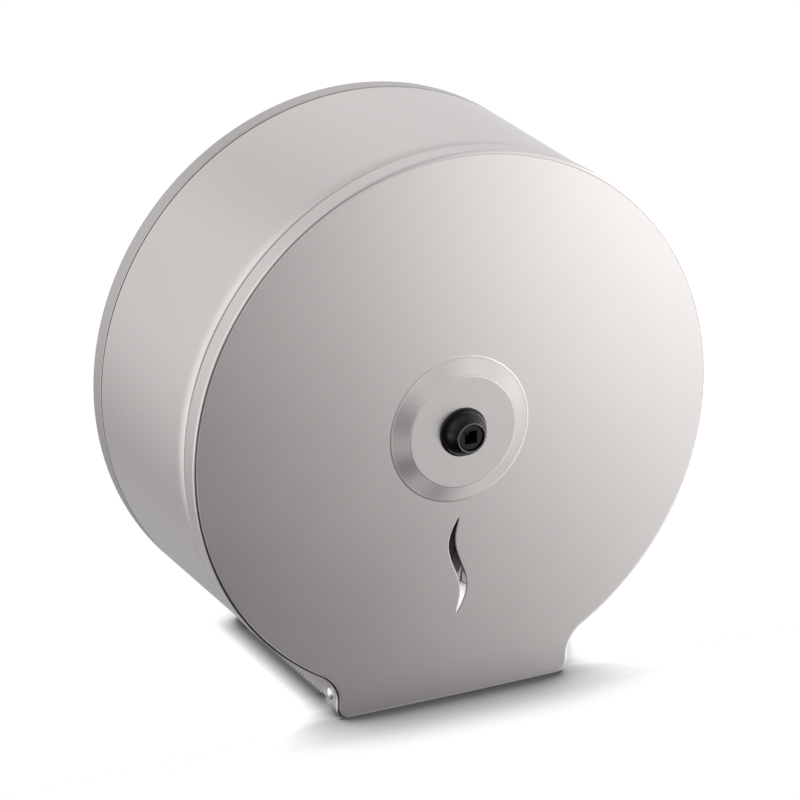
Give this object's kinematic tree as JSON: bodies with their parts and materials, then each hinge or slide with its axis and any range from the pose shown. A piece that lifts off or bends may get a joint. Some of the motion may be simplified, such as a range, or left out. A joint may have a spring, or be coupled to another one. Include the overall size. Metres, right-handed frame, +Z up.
{
  "type": "jumbo toilet roll dispenser",
  "caption": "Wall-mounted round steel drum for a jumbo toilet roll, with a hinged domed cover, a central square-key lock, an S-shaped level slot and an outlet apron.",
  "frame": {"origin": "on the wall face, at the centre of the four wall holes, which lies on the drum's axis", "axes": "+X to the right seen from the front, +Y into the wall along the drum's axis, +Z up"},
  "size_m": [0.27, 0.1335, 0.2743],
  "materials": {
    "satin_steel": "satin brushed stainless",
    "bright_steel": "bright, smooth",
    "zinc_plate": "zinc plated",
    "spring_steel": "blued spring steel",
    "white_nylon": "moulded nylon",
    "grey_plastic": "moulded, lightly textured",
    "black_lock": "semi-gloss black",
    "dark_pin": "dark, semi-gloss"
  },
  "bodies": {
    "housing": {"back_plate": "satin_steel", "drum_wall": "satin_steel", "left_hinge_plate": "satin_steel", "right_hinge_plate": "satin_steel", "spindle_flange": "satin_steel", "spindle_rivets": "bright_steel", "spindle_tube": "satin_steel", "lock_keeper": "zinc_plate", "hub_spacer": "white_nylon", "hub_washer": "white_nylon", "hub_clip": "spring_steel"},
    "hub": {"roll_hub": "grey_plastic"},
    "cover": {"cover_shell": "satin_steel", "left_hinge_rivet": "bright_steel", "right_hinge_rivet": "bright_steel", "left_hinge_washer": "white_nylon", "right_hinge_washer": "white_nylon", "lock_housing": "black_lock", "lock_washer": "zinc_plate", "lock_nut": "zinc_plate"},
    "lock": {"lock_plug": "black_lock", "coding_pin": "dark_pin", "lock_cam": "zinc_plate", "cam_screw": "zinc_plate"}
  },
  "joints": [
    {"name": "cover_hinge", "type": "hinge", "parent": "housing", "child": "cover", "pos_m": [0, -0.109, -0.128], "axis": [1, 0, 0], "range_deg": [0, 95]},
    {"name": "lock_turn", "type": "hinge", "parent": "cover", "child": "lock", "pos_m": [0, -0.1335, 0], "axis": [0, 1, 0], "range_deg": [0, 90]},
    {"name": "hub_spin", "type": "hinge", "parent": "housing", "child": "hub", "pos_m": [0, -0.0102, 0], "axis": [0, 1, 0], "continuous": true}
  ]
}
